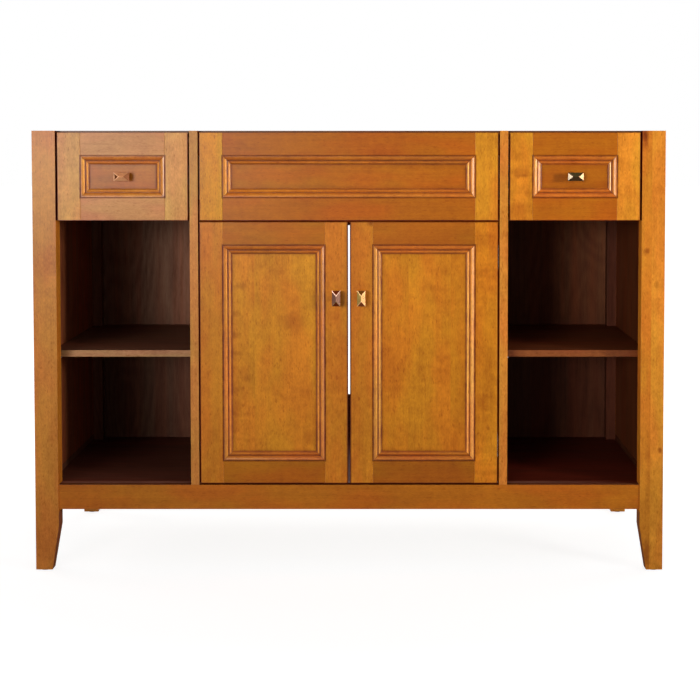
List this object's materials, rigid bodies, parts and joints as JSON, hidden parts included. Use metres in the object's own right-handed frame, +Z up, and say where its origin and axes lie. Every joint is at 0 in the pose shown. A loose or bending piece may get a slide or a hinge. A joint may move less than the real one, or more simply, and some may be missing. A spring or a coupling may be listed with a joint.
{
  "type": "vanity unit",
  "caption": "Freestanding bathroom vanity cabinet on tapered legs, with center doors, open shelved side bays, a drawer over each bay and an open top for a sink.",
  "frame": {"origin": "on the floor, under the middle of the whole box, door knobs included", "axes": "+X to the right seen from the front, +Y to the back, towards the wall, +Z up"},
  "size_m": [1.219, 0.572, 0.855],
  "materials": {
    "stained_maple_leg": "satin",
    "stained_maple_frame": "satin",
    "stained_maple_rail": "satin",
    "stained_maple_panel": "satin",
    "glazed_molding": "satin",
    "dark_laminate": "satin",
    "bare_birch": "matte",
    "antique_brass": "aged",
    "nickel_steel": "satin",
    "zinc_steel": "satin",
    "black_nylon": "matte"
  },
  "bodies": {
    "root": {"front_left_leg": "stained_maple_leg", "front_right_leg": "stained_maple_leg", "rear_left_leg": "stained_maple_leg", "rear_right_leg": "stained_maple_leg", "left_side_panel": "stained_maple_frame", "right_side_panel": "stained_maple_frame", "side_rails": "stained_maple_rail", "bottom_rail": "stained_maple_rail", "rear_bottom_rail": "dark_laminate", "front_stretcher": "stained_maple_rail", "rear_top_rail": "dark_laminate", "floor_panel": "dark_laminate", "left_divider": "dark_laminate", "right_divider": "dark_laminate", "drawer_decks": "dark_laminate", "door_stop_rail": "dark_laminate", "center_back_rail": "dark_laminate", "bay_back_panels": "dark_laminate", "left_shelf": "dark_laminate", "right_shelf": "dark_laminate", "shelf_pins": "zinc_steel", "corner_blocks": "bare_birch", "slide_spacers": "bare_birch", "floor_cleats": "bare_birch", "floor_glides": "black_nylon", "false_front_frame": "stained_maple_frame", "false_front_panel": "stained_maple_panel", "false_front_molding": "glazed_molding", "false_front_blocks": "bare_birch", "slide_cabinet_members": "zinc_steel", "hinge_arms": "nickel_steel", "hardware_screws": "zinc_steel"},
    "left_drawer": {"left_drawer_front_frame": "stained_maple_frame", "left_drawer_front_panel": "stained_maple_panel", "left_drawer_molding": "glazed_molding", "left_drawer_box": "bare_birch", "left_drawer_bottom": "bare_birch", "left_drawer_knob": "antique_brass", "left_drawer_slide_members": "zinc_steel"},
    "left_slide": {"left_slide_middle": "zinc_steel"},
    "left_door": {"left_door_frame": "stained_maple_frame", "left_door_panel": "stained_maple_panel", "left_door_molding": "glazed_molding", "left_door_knob": "antique_brass", "left_hinge_cups": "nickel_steel", "left_hinge_levers": "nickel_steel"},
    "right_drawer": {"right_drawer_front_frame": "stained_maple_frame", "right_drawer_front_panel": "stained_maple_panel", "right_drawer_molding": "glazed_molding", "right_drawer_box": "bare_birch", "right_drawer_bottom": "bare_birch", "right_drawer_knob": "antique_brass", "right_drawer_slide_members": "zinc_steel"},
    "right_slide": {"right_slide_middle": "zinc_steel"},
    "right_door": {"right_door_frame": "stained_maple_frame", "right_door_panel": "stained_maple_panel", "right_door_molding": "glazed_molding", "right_door_knob": "antique_brass", "right_hinge_cups": "nickel_steel", "right_hinge_levers": "nickel_steel"}
  },
  "joints": [
    {"name": "left_door_hinge", "type": "hinge", "parent": "root", "child": "left_door", "pos_m": [-0.282, -0.255, 0.425], "axis": [0, 0, -1], "range_deg": [0, 105]},
    {"name": "right_door_hinge", "type": "hinge", "parent": "root", "child": "right_door", "pos_m": [0.282, -0.255, 0.425], "axis": [0, 0, 1], "range_deg": [0, 105]},
    {"name": "left_drawer_slide", "type": "slide", "parent": "root", "child": "left_drawer", "axis": [0, -1, 0], "range_m": [0, 0.4]},
    {"name": "left_slide_run", "type": "slide", "parent": "root", "child": "left_slide", "axis": [0, -1, 0], "range_m": [0, 0.2]},
    {"name": "right_drawer_slide", "type": "slide", "parent": "root", "child": "right_drawer", "axis": [0, -1, 0], "range_m": [0, 0.4]},
    {"name": "right_slide_run", "type": "slide", "parent": "root", "child": "right_slide", "axis": [0, -1, 0], "range_m": [0, 0.2]}
  ],
  "couplings": [
    {"joint": "left_slide_run", "follows": "left_drawer_slide", "ratio": 0.5},
    {"joint": "right_slide_run", "follows": "right_drawer_slide", "ratio": 0.5}
  ]
}
